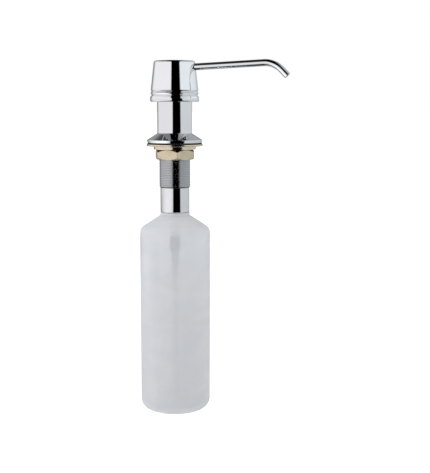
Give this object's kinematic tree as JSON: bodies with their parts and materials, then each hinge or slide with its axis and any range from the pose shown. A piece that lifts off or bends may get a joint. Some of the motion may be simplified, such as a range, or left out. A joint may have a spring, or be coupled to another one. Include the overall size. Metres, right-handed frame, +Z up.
{
  "type": "deck mounted soap dispenser",
  "caption": "Built-in pump soap dispenser: tapered chrome press head with a thin bent spout, flanged sleeve, threaded shank with brass clamping hardware, translucent bottle.",
  "frame": {"origin": "on the pump's axis, in the plane of the worktop's upper face, which is the underside of the flange gasket", "axes": "+Z up along the pump's axis, +X towards the side the spout points to at rest"},
  "size_m": [0.1351, 0.0636, 0.317],
  "materials": {
    "chrome": "polished, plated over brass",
    "thread_chrome": "plated, dull in the thread",
    "brass": "bare, fine machining marks",
    "rubber": "matte",
    "bottle": "translucent blow-moulded polyethylene, satin",
    "white_plastic": "moulded polypropylene",
    "clear_plastic": "translucent tube",
    "spring_steel": "drawn stainless"
  },
  "bodies": {
    "mount": {"sleeve_flange": "chrome", "threaded_shank": "thread_chrome", "flange_gasket": "rubber"},
    "clamp_stack": {"clamp_washer": "brass", "thrust_washer": "brass"},
    "nut": {"hex_nut": "brass"},
    "neck_ring": {"neck_seal": "rubber"},
    "reservoir": {"bottle": "bottle"},
    "pump_insert": {"pump_collar": "white_plastic", "collar_o_ring": "rubber", "pump_barrel": "white_plastic", "stem_guide": "white_plastic", "valve_cage": "white_plastic", "return_spring": "spring_steel", "dip_tube": "clear_plastic"},
    "inlet_valve": {"inlet_ball": "spring_steel"},
    "piston_rod": {"piston_stem": "white_plastic", "piston_seal": "rubber"},
    "outlet_valve": {"outlet_ball": "spring_steel"},
    "head": {"head_shell": "chrome", "head_core": "white_plastic", "spout_tube": "chrome", "spout_seal": "rubber"}
  },
  "joints": [
    {"name": "nut_travel", "type": "slide", "parent": "mount", "child": "clamp_stack", "axis": [0, 0, -1], "range_m": [0, 0.024]},
    {"name": "nut_turn", "type": "hinge", "parent": "clamp_stack", "child": "nut", "pos_m": [0, 0, -0.005], "axis": [0, 0, -1], "range_deg": [0, 5761]},
    {"name": "bottle_drop", "type": "slide", "parent": "mount", "child": "neck_ring", "axis": [0, 0, -1], "range_m": [0, 0.014]},
    {"name": "bottle_turn", "type": "hinge", "parent": "neck_ring", "child": "reservoir", "pos_m": [0, 0, -0.048], "axis": [0, 0, -1], "range_deg": [0, 1261]},
    {"name": "refill_lift", "type": "slide", "parent": "mount", "child": "pump_insert", "axis": [0, 0, 1], "range_m": [0, 0.285]},
    {"name": "pump_stroke", "type": "slide", "parent": "pump_insert", "child": "piston_rod", "axis": [0, 0, -1], "range_m": [0, 0.015], "stiffness_N_per_m": 400, "springref_m": -0.0125, "deforming": ["return_spring"]},
    {"name": "spout_swivel", "type": "hinge", "parent": "piston_rod", "child": "head", "pos_m": [0, 0, 0.067], "axis": [0, 0, 1], "continuous": true},
    {"name": "inlet_ball_lift", "type": "slide", "parent": "pump_insert", "child": "inlet_valve", "axis": [0, 0, 1], "range_m": [0, 0.002]},
    {"name": "outlet_ball_lift", "type": "slide", "parent": "piston_rod", "child": "outlet_valve", "axis": [0, 0, 1], "range_m": [0, 0.0015]}
  ],
  "couplings": [
    {"joint": "nut_turn", "follows": "nut_travel", "rad_per_m": 4188.8},
    {"joint": "bottle_turn", "follows": "bottle_drop", "rad_per_m": 1570.8}
  ]
}
